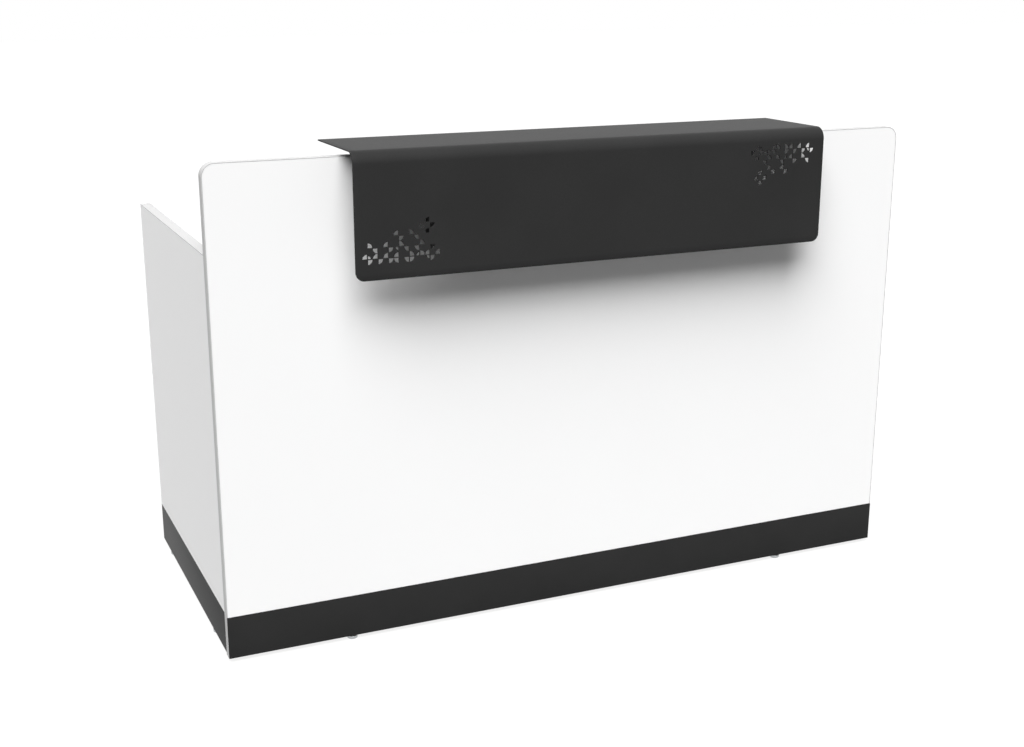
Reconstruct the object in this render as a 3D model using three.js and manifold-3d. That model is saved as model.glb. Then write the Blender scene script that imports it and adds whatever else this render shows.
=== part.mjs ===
// Reception desk: white edged boards on levelling feet, with a perforated bent-steel hob
// saddled over the top edge of the front panel. Millimetres, +Z up.
// The origin is on the floor at the middle of the footprint; visitors stand on the -Y side.
import * as THREE from 'three';
import { mergeVertices } from 'three/addons/utils/BufferGeometryUtils.js';
import Module from 'manifold-3d';

const wasm = await Module();
wasm.setup();

// Overall sizes, heights taken from the floor
const DESK_WIDTH = 1800;
const DESK_DEPTH = 795;
const HOB_TOP = 1170;
const HOB_RISE = 20;
const PANEL_TOP = HOB_TOP - HOB_RISE;
const SIDE_TOP = 950;
const WORKTOP_TOP = 740;
const FLOOR_GAP = 11;

// Clearance left at every seat, glue line and drilled hole
const FIT = 0.25;

// Boards and their plastic edging
const BOARD = 25;
const EDGING = 2;
const EDGING_ARRIS = 1;
const PANEL_CORNER = 30;
const SIDE_CORNER = 4;
const SIDE_INSET = 2;
const WORKTOP_SETBACK = 20;
const WORKTOP_SIDE_GAP = 1;

// Kick plates, let into the boards
const KICK_HEIGHT = 102;
const KICK_SHEET = 3;
const FRONT_KICK_PROUD = 2;
const SIDE_KICK_PROUD = 0;

// Hob: one bent steel sheet, a shelf with an apron in front
const HOB_WIDTH = 1200;
const HOB_OVERHANG = 100;
const HOB_DEPTH = 255;
const HOB_DROP = 280;
const HOB_SHEET = 3;
const HOB_BEND = 28;
const APRON_CORNER = 20;
const SHELF_CORNER = 3;

// Quarter-round perforations: circles on a grid, each split into four quarters by webs.
// One character is one quarter: # full size, o small, . left solid. The first row is the top.
const CIRCLE_PITCH = 24;
const QUARTER_WEB = 2;
const QUARTER_RADIUS = 10.5;
const SMALL_QUARTER_RADIUS = 6.5;
const PATTERN_FROM_BOTTOM = 47;
const PATTERN_FROM_LEFT = 28;
const PATTERN_FROM_RIGHT = 40;
const PATTERN = [
  '............#..',
  '...........#.#.',
  '......#..#..#..',
  '.......#..#....',
  '.#..#..#...#...',
  '..#..#o.#.#..#.',
  '#o#.#.#..#o##.#',
  '.#.#.##.##..o#.',
];

// Saddle brackets under the hob
const BRACKET_INSET = 200;
const BRACKET_SHEET = 4;
const BRACKET_FLANGE = 40;
const BRACKET_RISE = 46;
const BRACKET_NOSE = 30;
const BRACKET_NOSE_RISE = 80;
const BRACKET_HOOK = 70;
const BRACKET_SETBACK = 15;
const BRACKET_TIP = 12;

// Bracket screws and the weld studs and nuts that hold the hob down
const SCREW_COUNT = 3;
const SCREW_DIAMETER = 4.5;
const SCREW_LENGTH = 20;
const SCREW_HEAD_DIAMETER = 9.5;
const SCREW_HEAD_HEIGHT = 3;
const SCREW_FROM_BOTTOM = 25;
const SCREW_FROM_TOP = 45;
const STUD_DIAMETER = 6;
const STUD_LENGTH = 12;
const STUD_FROM_WEB = 22;
const STUD_BESIDE_PANEL = 45;
const NUT_ACROSS_FLATS = 10;
const NUT_HEIGHT = 5;

// Levelling feet and the threaded inserts that they turn in
const FRONT_FOOT_INSET = 300;
const SIDE_FOOT_FROM_FRONT = 150;
const SIDE_FOOT_FROM_REAR = 100;
const FOOT_DIAMETER = 25;
const FOOT_HEIGHT = 8;
const FOOT_CHAMFER = 2;
const STEM_DIAMETER = 8;
const STEM_LENGTH = 30;
const STEM_RETRACT = 3;
const INSERT_DIAMETER = 12;
const INSERT_LENGTH = 20;

// Cam fittings that draw the side panels to the front panel
const CAM_COUNT = 3;
const CAM_DIAMETER = 15;
const CAM_DEPTH = 16.5;
const CAM_SETBACK = 34;
const CAM_FROM_END = 140;
const CAM_SLOT = 2.5;
const CAM_SLOT_DEPTH = 3;
const BOLT_THREAD_DIAMETER = 6;
const BOLT_THREAD_LENGTH = 11;
const BOLT_SHANK_DIAMETER = 7;
const BOLT_NECK_DIAMETER = 4;
const BOLT_NECK_LENGTH = 4;
const BOLT_HEAD_LENGTH = 5;

// Steel angles under the worktop
const CLEAT_LEG = 30;
const CLEAT_WALL = 3;
const CLEAT_HOLE = 5;
const SIDE_CLEAT_LENGTH = 560;
const SIDE_CLEAT_FROM_FRONT = 90;
const SIDE_CLEAT_HOLES = 3;
const FRONT_CLEAT_LENGTH = 1500;
const FRONT_CLEAT_HOLES = 5;
const CLEAT_HOLE_FROM_END = 40;

// Cable grommets let flush into the worktop, each a liner with a turning cap
const GROMMET_FROM_SIDE = 300;
const GROMMET_FROM_FRONT = 90;
const GROMMET_HOLE = 80;
const GROMMET_FLANGE_DIAMETER = 92;
const GROMMET_FLANGE_HEIGHT = 2.5;
const GROMMET_DEPTH = 20;
const GROMMET_LEDGE = 3;
const CAP_DIAMETER = 73;
const CAP_HEIGHT = 4;
const CAP_NOTCH_WIDTH = 26;
const CAP_NOTCH_DEPTH = 20;

// Facets along a quarter turn and an arris, allowance past a face for a clean cut, and the
// distance within which two corners are one
const QUARTER_STEPS = 6;
const ARRIS_STEPS = 2;
const PAST = 5;
const SAME_CORNER = 1e-4;

// Facets round a full turn, fewer on what is no wider than a fastener
const ROUND_STEPS = 32;
const FASTENER_STEPS = 12;
const FASTENER_WIDTH = 16;

// Places worked out from the sizes above
const halfWidth = DESK_WIDTH / 2;
const hobFront = -(HOB_OVERHANG + DESK_DEPTH) / 2;
const panelFront = hobFront + HOB_OVERHANG;
const panelBack = panelFront + BOARD;
const deskRear = panelFront + DESK_DEPTH;
const sideFront = panelBack + FIT;
const sideOuter = halfWidth - SIDE_INSET;
const sideInner = sideOuter - BOARD;
const sideMiddle = sideOuter - BOARD / 2;
const worktopUnder = WORKTOP_TOP - BOARD;
const worktopHalf = sideInner - WORKTOP_SIDE_GAP;
const worktopRear = deskRear - WORKTOP_SETBACK;
const hobUnder = HOB_TOP - HOB_SHEET;
const hobRear = hobFront + HOB_DEPTH;
const apronBottom = HOB_TOP - HOB_DROP;
const apronInner = hobFront + HOB_SHEET;

const material = (color, roughness, metalness = 0) =>
  new THREE.MeshStandardMaterial({ color, roughness, metalness });
const BOARD_WHITE = material('#fafafa', 0.45);
const EDGE_WHITE = material('#f2f2f2', 0.4);
const KICK_BLACK = material('#303032', 0.5);
const POWDER_BLACK = material('#333335', 0.55);
const BRACKET_BLACK = material('#1c1c1d', 0.6);
const ZINC = material('#a9abac', 0.35, 1);
const STEEL = material('#8d9092', 0.4, 1);
const GROMMET_BLACK = material('#232324', 0.5);

const X = new THREE.Vector3(1, 0, 0);
const Y = new THREE.Vector3(0, 1, 0);
const Z = new THREE.Vector3(0, 0, 1);
const BACK = new THREE.Vector3(0, -1, 0);

// Which way an outline's own axes and its thickness lie, for a thickness along X, Y or Z
const LIE = {
  x: new THREE.Matrix4().makeBasis(Y, Z, X),
  y: new THREE.Matrix4().makeBasis(X, Z, BACK),
  z: new THREE.Matrix4().makeBasis(X, Y, Z),
};

// A closed geometry as a solid, with shared corners merged and collapsed facets dropped
function solid(geometry) {
  const bare = new THREE.BufferGeometry();
  bare.setAttribute('position', geometry.getAttribute('position'));
  bare.setIndex(geometry.getIndex());
  const merged = mergeVertices(bare, SAME_CORNER);
  const corners = merged.getIndex().array;
  const kept = [];
  for (let i = 0; i < corners.length; i += 3) {
    const [a, b, c] = corners.slice(i, i + 3);
    if (a !== b && b !== c && c !== a) kept.push(a, b, c);
  }
  return new wasm.Manifold(new wasm.Mesh({
    numProp: 3,
    vertProperties: Float32Array.from(merged.getAttribute('position').array),
    triVerts: Uint32Array.from(kept),
  }));
}

// An outline given thickness along one axis, between two places on that axis
function slab(outline, axis, start, end, steps = QUARTER_STEPS / 2, arris = 0) {
  const from = Math.min(start, end);
  const to = Math.max(start, end);
  const geometry = new THREE.ExtrudeGeometry(outline, {
    depth: to - from - 2 * arris,
    curveSegments: steps,
    bevelEnabled: arris > 0,
    bevelThickness: arris,
    bevelSize: arris,
    bevelOffset: -arris,
    bevelSegments: ARRIS_STEPS,
  });
  geometry.translate(0, 0, arris);
  geometry.applyMatrix4(LIE[axis]);
  geometry.translate(axis === 'x' ? from : 0, axis === 'y' ? to : 0, axis === 'z' ? from : 0);
  return solid(geometry);
}

// A rectangular block between two opposite corners, given in any order
function block(a, b) {
  const box = new THREE.Box3().setFromPoints([new THREE.Vector3(...a), new THREE.Vector3(...b)]);
  const size = box.getSize(new THREE.Vector3());
  const middle = box.getCenter(new THREE.Vector3());
  const geometry = new THREE.BoxGeometry(size.x, size.y, size.z);
  geometry.translate(middle.x, middle.y, middle.z);
  return solid(geometry);
}

const facets = (diameter) => (diameter > FASTENER_WIDTH ? ROUND_STEPS : FASTENER_STEPS);

// A round bar along one axis; u and v are its place on the other two axes, in order
function bar(diameter, axis, u, v, start, end) {
  const outline = new THREE.Shape();
  outline.absarc(u, v, diameter / 2, 0, 2 * Math.PI);
  return slab(outline, axis, start, end, facets(diameter) / 2);
}

// A profile of [radius, height] points turned about the Z axis
function turned(points) {
  const profile = points.map(([radius, height]) => new THREE.Vector2(radius, height));
  const widest = Math.max(...points.map(([radius]) => radius));
  const geometry = new THREE.LatheGeometry(profile, facets(2 * widest));
  geometry.applyMatrix4(LIE.y);
  return solid(geometry);
}

// A polygon through [u, v] points
const polygon = (points) => new THREE.Shape(points.map(([u, v]) => new THREE.Vector2(u, v)));

const cut = (body, ...tools) => tools.reduce((left, tool) => left.subtract(tool), body);
const join = (...bodies) => bodies.reduce((all, next) => all.add(next));

const desk = new THREE.Group();

// One named mesh of the desk, in the group and at the place given
function piece(name, body, finish, group = desk, at = [0, 0, 0]) {
  const { numProp, vertProperties, triVerts } = body.getMesh();
  const geometry = new THREE.BufferGeometry();
  geometry.setAttribute('position', new THREE.BufferAttribute(vertProperties, numProp));
  geometry.setIndex(new THREE.BufferAttribute(triVerts, 1));
  const mesh = new THREE.Mesh(geometry.toNonIndexed(), finish);
  mesh.geometry.computeVertexNormals();
  mesh.name = name;
  mesh.position.set(...at);
  group.add(mesh);
  return mesh;
}

// Lays an upright mesh down, so that its +Z runs towards the desk's back
function lieBack(mesh) {
  mesh.rotation.x = -Math.PI / 2;
}

// The two ends of the desk, and evenly spaced places between two limits
const ENDS = [['left', -1], ['right', 1]];
const spaced = (count, first, last) =>
  Array.from({ length: count }, (_, i) => first + ((last - first) * i) / (count - 1));

const camHeights = spaced(CAM_COUNT, FLOOR_GAP + CAM_FROM_END, SIDE_TOP - CAM_FROM_END);
const bracketBottom = apronBottom + BRACKET_RISE;
const screwHeights = spaced(
  SCREW_COUNT, bracketBottom + SCREW_FROM_BOTTOM, PANEL_TOP - SCREW_FROM_TOP);
const studPlaces = [
  ['front', panelFront - STUD_BESIDE_PANEL],
  ['rear', panelBack + STUD_BESIDE_PANEL],
];
const bracketWeb = HOB_WIDTH / 2 - BRACKET_INSET;
const studAcross = bracketWeb - STUD_FROM_WEB;
const screwAcross = bracketWeb - BRACKET_SHEET - (BRACKET_FLANGE - BRACKET_SHEET) / 2;

// Every foot: its name and its place on the floor, in the middle of its board
const feet = [];
for (const [end, hand] of ENDS) {
  feet.push([`front_${end}`, hand * (halfWidth - FRONT_FOOT_INSET), panelFront + BOARD / 2]);
  feet.push([`${end}_fore`, hand * sideMiddle, sideFront + SIDE_FOOT_FROM_FRONT]);
  feet.push([`${end}_rear`, hand * sideMiddle, deskRear - SIDE_FOOT_FROM_REAR]);
}

// Bores in a board's lower edge for an insert, and above it for the stem at its highest
function footBores(x, y) {
  const stemTop = FOOT_HEIGHT + STEM_LENGTH + STEM_RETRACT + STEM_DIAMETER / 4;
  return join(
    bar(INSERT_DIAMETER + 2 * FIT, 'z', x, y, FLOOR_GAP - PAST, FLOOR_GAP + INSERT_LENGTH + FIT),
    bar(STEM_DIAMETER + 2 * FIT, 'z', x, y, FLOOR_GAP - PAST, stemTop),
  );
}

// Front panel: upright board with round top corners, drawn in by an inset on three sides
function panelOutline(inset, bottom) {
  const half = halfWidth - inset;
  const top = PANEL_TOP - inset;
  const corner = PANEL_CORNER - inset;
  const outline = new THREE.Shape();
  outline.moveTo(-half, bottom);
  outline.lineTo(half, bottom);
  outline.absarc(half - corner, top - corner, corner, 0, Math.PI / 2);
  outline.absarc(corner - half, top - corner, corner, Math.PI / 2, Math.PI);
  return outline;
}

function frontPanel() {
  const kickTop = FLOOR_GAP + KICK_HEIGHT;
  const kickFront = panelFront - FRONT_KICK_PROUD;
  const kickBack = kickFront + KICK_SHEET;
  const kick = block([-halfWidth, kickFront, FLOOR_GAP], [halfWidth, kickBack, kickTop]);
  const rebate = block(
    [-halfWidth - PAST, panelFront - PAST, FLOOR_GAP - PAST],
    [halfWidth + PAST, kickBack + FIT, kickTop + FIT],
  );
  const bores = feet.filter(([name]) => name.startsWith('front')).map(([, x, y]) => footBores(x, y));
  for (const [, hand] of ENDS) {
    const boltBore = BOLT_THREAD_DIAMETER + 2 * FIT;
    const boltEnd = panelBack - BOLT_THREAD_LENGTH - 2 * FIT;
    for (const height of camHeights) {
      bores.push(bar(boltBore, 'y', hand * sideMiddle, height, boltEnd, panelBack + PAST));
    }
    const screwEnd = panelFront + SCREW_LENGTH;
    for (const height of screwHeights) {
      const bore = SCREW_DIAMETER + 2 * FIT;
      bores.push(bar(bore, 'y', hand * screwAcross, height, panelFront - PAST, screwEnd));
    }
  }
  const core = slab(panelOutline(EDGING + FIT, FLOOR_GAP), 'y', panelFront, panelBack);
  const band = slab(panelOutline(0, FLOOR_GAP - PAST), 'y', panelFront, panelBack,
    QUARTER_STEPS / 2, EDGING_ARRIS);
  const inside = slab(panelOutline(EDGING, FLOOR_GAP - 2 * PAST), 'y',
    panelFront - PAST, panelBack + PAST);
  const below = block(
    [-halfWidth - PAST, panelFront - PAST, FLOOR_GAP - 2 * PAST],
    [halfWidth + PAST, panelBack + PAST, FLOOR_GAP],
  );
  piece('front_panel', cut(core, rebate, ...bores), BOARD_WHITE);
  piece('front_panel_edging', cut(band, inside, below, rebate), EDGE_WHITE);
  piece('front_kick_plate', kick, KICK_BLACK);
}

// Side panel: upright board behind the front panel, edged along its top and its rear
function sideOutline(inset, front, bottom) {
  const rear = deskRear - inset;
  const top = SIDE_TOP - inset;
  const corner = SIDE_CORNER - inset;
  const outline = new THREE.Shape();
  outline.moveTo(front, bottom);
  outline.lineTo(rear, bottom);
  outline.absarc(rear - corner, top - corner, corner, 0, Math.PI / 2);
  outline.lineTo(front, top);
  return outline;
}

function sidePanel(end, hand) {
  const outer = hand * sideOuter;
  const inner = hand * sideInner;
  const kickTop = FLOOR_GAP + KICK_HEIGHT;
  const kickOuter = outer + hand * SIDE_KICK_PROUD;
  const kickInner = kickOuter - hand * KICK_SHEET;
  const kick = block([kickInner, sideFront, FLOOR_GAP], [kickOuter, deskRear, kickTop]);
  const rebate = block(
    [kickInner - hand * FIT, sideFront - PAST, FLOOR_GAP - PAST],
    [outer + hand * PAST, deskRear + PAST, kickTop + FIT],
  );
  const bores = feet.filter(([name]) => name.startsWith(end)).map(([, x, y]) => footBores(x, y));
  for (const height of camHeights) {
    const camPlace = sideFront + CAM_SETBACK;
    const camFloor = inner + hand * (CAM_DEPTH + FIT);
    const boltBore = BOLT_SHANK_DIAMETER + 2 * FIT;
    bores.push(bar(CAM_DIAMETER + 2 * FIT, 'x', camPlace, height, inner - hand * PAST, camFloor));
    bores.push(bar(boltBore, 'y', hand * sideMiddle, height, sideFront - PAST, camPlace));
  }
  const core = slab(sideOutline(EDGING + FIT, sideFront, FLOOR_GAP), 'x', inner, outer);
  const band = slab(sideOutline(0, sideFront - PAST, FLOOR_GAP - PAST), 'x', inner, outer,
    QUARTER_STEPS / 2, EDGING_ARRIS);
  const inside = slab(sideOutline(EDGING, sideFront - 2 * PAST, FLOOR_GAP - 2 * PAST), 'x',
    inner - hand * PAST, outer + hand * PAST);
  const ahead = block(
    [inner - hand * PAST, sideFront - 2 * PAST, 0],
    [outer + hand * PAST, sideFront, SIDE_TOP + PAST],
  );
  const below = block(
    [inner - hand * PAST, sideFront - PAST, FLOOR_GAP - 2 * PAST],
    [outer + hand * PAST, deskRear + PAST, FLOOR_GAP],
  );
  piece(`${end}_side_panel`, cut(core, rebate, ...bores), BOARD_WHITE);
  piece(`${end}_side_edging`, cut(band, inside, ahead, below, rebate), EDGE_WHITE);
  piece(`${end}_kick_plate`, kick, KICK_BLACK);
}

// Worktop: level board between the sides, edged along the seated person's side
const grommetAcross = sideInner - GROMMET_FROM_SIDE;
const grommetAlong = panelBack + GROMMET_FROM_FRONT;

function worktop() {
  const rear = worktopRear - EDGING;
  const above = WORKTOP_TOP + PAST;
  const seat = WORKTOP_TOP - GROMMET_FLANGE_HEIGHT - FIT;
  const holes = ENDS.flatMap(([, hand]) => {
    const across = hand * grommetAcross;
    return [
      bar(GROMMET_HOLE, 'z', across, grommetAlong, worktopUnder - PAST, above),
      bar(GROMMET_FLANGE_DIAMETER + 2 * FIT, 'z', across, grommetAlong, seat, above),
    ];
  });
  const board = block([-worktopHalf, sideFront, worktopUnder], [worktopHalf, rear - FIT, WORKTOP_TOP]);
  const arris = worktopRear - EDGING_ARRIS;
  const lip = new THREE.Shape();
  lip.moveTo(rear, worktopUnder);
  lip.absarc(arris, worktopUnder + EDGING_ARRIS, EDGING_ARRIS, -Math.PI / 2, 0);
  lip.absarc(arris, WORKTOP_TOP - EDGING_ARRIS, EDGING_ARRIS, 0, Math.PI / 2);
  lip.lineTo(rear, WORKTOP_TOP);
  piece('worktop', cut(board, ...holes), BOARD_WHITE);
  piece('worktop_edging', slab(lip, 'x', -worktopHalf, worktopHalf, ARRIS_STEPS / 2), EDGE_WHITE);
}

// Steel angle in section, its corner under the worktop where the two boards meet;
// u is away from the upright board
function cleatOutline(corner, away) {
  const top = worktopUnder - FIT;
  const wall = corner + away * CLEAT_WALL;
  const toe = corner + away * CLEAT_LEG;
  return polygon([
    [corner, top], [corner, top - CLEAT_LEG], [wall, top - CLEAT_LEG],
    [wall, top - CLEAT_WALL], [toe, top - CLEAT_WALL], [toe, top],
  ]);
}

function cleats() {
  const legMiddle = (CLEAT_LEG + CLEAT_WALL) / 2;
  const holeHeight = worktopUnder - FIT - legMiddle;
  const above = worktopUnder + PAST;
  const under = worktopUnder - CLEAT_LEG;
  for (const [end, hand] of ENDS) {
    const corner = hand * (sideInner - FIT);
    const first = sideFront + SIDE_CLEAT_FROM_FRONT;
    const last = first + SIDE_CLEAT_LENGTH;
    const holes = spaced(SIDE_CLEAT_HOLES, first + CLEAT_HOLE_FROM_END, last - CLEAT_HOLE_FROM_END)
      .flatMap((place) => [
        bar(CLEAT_HOLE, 'x', place, holeHeight, corner + hand * PAST, corner - hand * CLEAT_LEG),
        bar(CLEAT_HOLE, 'z', corner - hand * legMiddle, place, under, above),
      ]);
    const angle = slab(cleatOutline(corner, -hand), 'y', first, last);
    piece(`${end}_worktop_cleat`, cut(angle, ...holes), STEEL);
  }
  const corner = panelBack + FIT;
  const half = FRONT_CLEAT_LENGTH / 2;
  const holes = spaced(FRONT_CLEAT_HOLES, CLEAT_HOLE_FROM_END - half, half - CLEAT_HOLE_FROM_END)
    .flatMap((place) => [
      bar(CLEAT_HOLE, 'y', place, holeHeight, corner - PAST, corner + CLEAT_LEG),
      bar(CLEAT_HOLE, 'z', place, corner + legMiddle, under, above),
    ]);
  const angle = slab(cleatOutline(corner, 1), 'x', -half, half);
  piece('front_worktop_cleat', cut(angle, ...holes), STEEL);
}

// One quarter of a circle, on the side of its centre that across and up point to
function quarter(u, v, across, up, radius) {
  const start = Math.atan2(up, across) - Math.PI / 4;
  const cornerU = u + (across * QUARTER_WEB) / 2;
  const cornerV = v + (up * QUARTER_WEB) / 2;
  const outline = new THREE.Shape();
  outline.moveTo(cornerU, cornerV);
  outline.absarc(cornerU, cornerV, radius, start, start + Math.PI / 2);
  return slab(outline, 'y', hobFront - PAST, hobFront + HOB_SHEET + PAST);
}

// All the quarters: one cluster low on the left, and the same turned half round, high on the right
function perforations() {
  const middle = (HOB_TOP + apronBottom) / 2;
  const tools = [];
  PATTERN.forEach((row, fromTop) => {
    const step = PATTERN.length - 1 - fromTop;
    const v = apronBottom + PATTERN_FROM_BOTTOM + Math.floor(step / 2) * CIRCLE_PITCH - middle;
    const up = step % 2 ? 1 : -1;
    [...row].forEach((mark, column) => {
      if (mark === '.') return;
      const radius = mark === '#' ? QUARTER_RADIUS : SMALL_QUARTER_RADIUS;
      const along = Math.floor(column / 2) * CIRCLE_PITCH - HOB_WIDTH / 2;
      const across = column % 2 ? 1 : -1;
      tools.push(quarter(along + PATTERN_FROM_LEFT, middle + v, across, up, radius));
      tools.push(quarter(-along - PATTERN_FROM_RIGHT, middle - v, -across, -up, radius));
    });
  });
  return tools;
}

// Hob: the bent section carried along the desk, its corners rounded, with weld studs under the shelf
function hob() {
  const half = HOB_WIDTH / 2;
  const bendY = hobFront + HOB_BEND;
  const bendZ = HOB_TOP - HOB_BEND;
  const section = new THREE.Shape();
  section.moveTo(hobFront, apronBottom);
  section.absarc(bendY, bendZ, HOB_BEND, Math.PI, Math.PI / 2, true);
  section.lineTo(hobRear, HOB_TOP);
  section.lineTo(hobRear, hobUnder);
  section.absarc(bendY, bendZ, HOB_BEND - HOB_SHEET, Math.PI / 2, Math.PI);
  section.lineTo(apronInner, apronBottom);
  const sheet = slab(section, 'x', -half, half);

  const apron = new THREE.Shape();
  apron.moveTo(half, HOB_TOP + PAST);
  apron.lineTo(-half, HOB_TOP + PAST);
  apron.absarc(APRON_CORNER - half, apronBottom + APRON_CORNER, APRON_CORNER, Math.PI, 1.5 * Math.PI);
  apron.absarc(half - APRON_CORNER, apronBottom + APRON_CORNER, APRON_CORNER, 1.5 * Math.PI, 2 * Math.PI);
  const shelf = new THREE.Shape();
  shelf.moveTo(-half, hobFront - PAST);
  shelf.lineTo(half, hobFront - PAST);
  shelf.absarc(half - SHELF_CORNER, hobRear - SHELF_CORNER, SHELF_CORNER, 0, Math.PI / 2);
  shelf.absarc(SHELF_CORNER - half, hobRear - SHELF_CORNER, SHELF_CORNER, Math.PI / 2, Math.PI);

  const rounded = sheet
    .intersect(slab(apron, 'y', hobFront - PAST, hobRear + PAST))
    .intersect(slab(shelf, 'z', apronBottom - PAST, HOB_TOP + PAST));
  const studs = ENDS.flatMap(([, hand]) => studPlaces.map(([, along]) =>
    bar(STUD_DIAMETER, 'z', hand * studAcross, along, hobUnder - STUD_LENGTH, hobUnder + FIT)));
  piece('hob', join(cut(rounded, ...perforations()), ...studs), POWDER_BLACK);
}

// Saddle bracket: an upright web that hooks over the front panel, with a flange screwed to the
// panel's face and another under the shelf
function bracket(end, hand) {
  const top = hobUnder - FIT;
  const nose = apronInner + FIT;
  const face = panelFront - FIT;
  const heel = panelBack + FIT;
  const saddle = PANEL_TOP + FIT;
  const reach = hobRear - BRACKET_SETBACK;
  const bend = HOB_BEND - HOB_SHEET;
  const outer = hand * bracketWeb;
  const inner = outer - hand * BRACKET_SHEET;
  const toe = outer - hand * BRACKET_FLANGE;
  const outline = polygon([
    [face, bracketBottom], [face, saddle], [heel, saddle], [heel, PANEL_TOP - BRACKET_HOOK],
    [reach, top - BRACKET_TIP], [reach, top], [nose + bend, top], [nose, top - bend],
    [nose, bracketBottom + BRACKET_NOSE_RISE], [face - BRACKET_NOSE, bracketBottom],
  ]);
  const web = slab(outline, 'x', outer, inner);
  const faceFlange = block([outer, face - BRACKET_SHEET, bracketBottom], [toe, face, saddle]);
  const shelfFlange = block([outer, nose + bend, top - BRACKET_SHEET], [toe, reach, top]);
  const holes = screwHeights.map((height) =>
    bar(SCREW_DIAMETER + 2 * FIT, 'y', hand * screwAcross, height, face - 2 * BRACKET_SHEET, face + PAST));
  for (const [, along] of studPlaces) {
    const bore = STUD_DIAMETER + 2 * FIT;
    holes.push(bar(bore, 'z', hand * studAcross, along, top - 2 * BRACKET_SHEET, top + PAST));
  }
  piece(`${end}_hob_bracket`, cut(join(web, faceFlange, shelfFlange), ...holes), BRACKET_BLACK);
}

// Pan-head wood screw, its head's underside at the origin and its shank along +Z
function screwBody() {
  const head = SCREW_HEAD_DIAMETER / 2;
  const shank = SCREW_DIAMETER / 2;
  return turned([
    [0, -SCREW_HEAD_HEIGHT], [head - SCREW_HEAD_HEIGHT / 2, -SCREW_HEAD_HEIGHT],
    [head, -SCREW_HEAD_HEIGHT / 2], [head, 0], [shank, 0],
    [shank, SCREW_LENGTH - SCREW_DIAMETER], [0, SCREW_LENGTH],
  ]);
}

// Hexagon nut below the origin, on a weld stud
function nutBody() {
  const corner = NUT_ACROSS_FLATS / Math.sqrt(3);
  const corners = Array.from({ length: 6 }, (_, i) => (i * Math.PI) / 3);
  const hexagon = polygon(corners.map((angle) => [corner * Math.cos(angle), corner * Math.sin(angle)]));
  const thread = bar(STUD_DIAMETER + 2 * FIT, 'z', 0, 0, -NUT_HEIGHT - PAST, PAST);
  return cut(slab(hexagon, 'z', -NUT_HEIGHT, 0), thread);
}

function hobFasteners() {
  const screw = screwBody();
  const nut = nutBody();
  const headSeat = panelFront - FIT - BRACKET_SHEET - FIT;
  const nutSeat = hobUnder - FIT - BRACKET_SHEET - FIT;
  const group = new THREE.Group();
  desk.add(group);
  for (const [end, hand] of ENDS) {
    screwHeights.forEach((height, i) =>
      lieBack(piece(`${end}_bracket_screw_${i + 1}`, screw, ZINC, group,
        [hand * screwAcross, headSeat, height])));
    for (const [where, along] of studPlaces) {
      piece(`${end}_hob_nut_${where}`, nut, ZINC, group, [hand * studAcross, along, nutSeat]);
    }
  }
}

// Cam housing in the inner face of a side panel: a slotted disc with a pocket for the bolt's head
function camBody(hand) {
  const inner = 0;
  const floor = hand * CAM_DEPTH;
  const disc = bar(CAM_DIAMETER, 'x', 0, 0, inner, floor);
  const pocket = bar(BOLT_SHANK_DIAMETER + 2 * FIT, 'y', (hand * BOARD) / 2, 0,
    -CAM_DIAMETER, BOLT_HEAD_LENGTH / 2 + FIT);
  const half = CAM_SLOT / 2;
  const slot = block([inner - hand * PAST, -CAM_DIAMETER, -half],
    [inner + hand * CAM_SLOT_DEPTH, CAM_DIAMETER, half]);
  return cut(disc, pocket, slot);
}

// Cam bolt along +Z from the front panel's back face: thread, shank, neck and head
function boltBody() {
  const thread = BOLT_THREAD_DIAMETER / 2;
  const shank = BOLT_SHANK_DIAMETER / 2;
  const neck = BOLT_NECK_DIAMETER / 2;
  const headEnd = CAM_SETBACK + FIT + BOLT_HEAD_LENGTH / 2;
  const headStart = headEnd - BOLT_HEAD_LENGTH;
  const neckStart = headStart - BOLT_NECK_LENGTH;
  return turned([
    [0, -BOLT_THREAD_LENGTH], [thread, -BOLT_THREAD_LENGTH], [thread, FIT], [shank, FIT],
    [shank, neckStart], [neck, neckStart], [neck, headStart], [shank, headStart],
    [shank, headEnd], [0, headEnd],
  ]);
}

function camFittings() {
  const bolt = boltBody();
  const group = new THREE.Group();
  desk.add(group);
  for (const [end, hand] of ENDS) {
    const cam = camBody(hand);
    camHeights.forEach((height, i) => {
      piece(`${end}_cam_${i + 1}`, cam, ZINC, group, [hand * sideInner, sideFront + CAM_SETBACK, height]);
      lieBack(piece(`${end}_cam_bolt_${i + 1}`, bolt, STEEL, group,
        [hand * sideMiddle, panelBack, height]));
    });
  }
}

// Levelling foot: a chamfered base with a stem that screws into an insert
function levellingFeet() {
  const base = FOOT_DIAMETER / 2;
  const stem = STEM_DIAMETER / 2;
  const sleeve = INSERT_DIAMETER / 2;
  const bore = stem + FIT;
  const foot = turned([
    [0, 0], [base - FOOT_CHAMFER, 0], [base, FOOT_CHAMFER], [base, FOOT_HEIGHT],
    [stem, FOOT_HEIGHT], [stem, FOOT_HEIGHT + STEM_LENGTH], [0, FOOT_HEIGHT + STEM_LENGTH],
  ]);
  const insert = turned([
    [bore, 0], [sleeve, 0], [sleeve, INSERT_LENGTH], [bore, INSERT_LENGTH], [bore, 0],
  ]);
  const group = new THREE.Group();
  desk.add(group);
  for (const [name, x, y] of feet) {
    piece(`${name}_foot`, foot, ZINC, group, [x, y, 0]);
    piece(`${name}_foot_insert`, insert, STEEL, group, [x, y, FLOOR_GAP]);
  }
}

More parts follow.
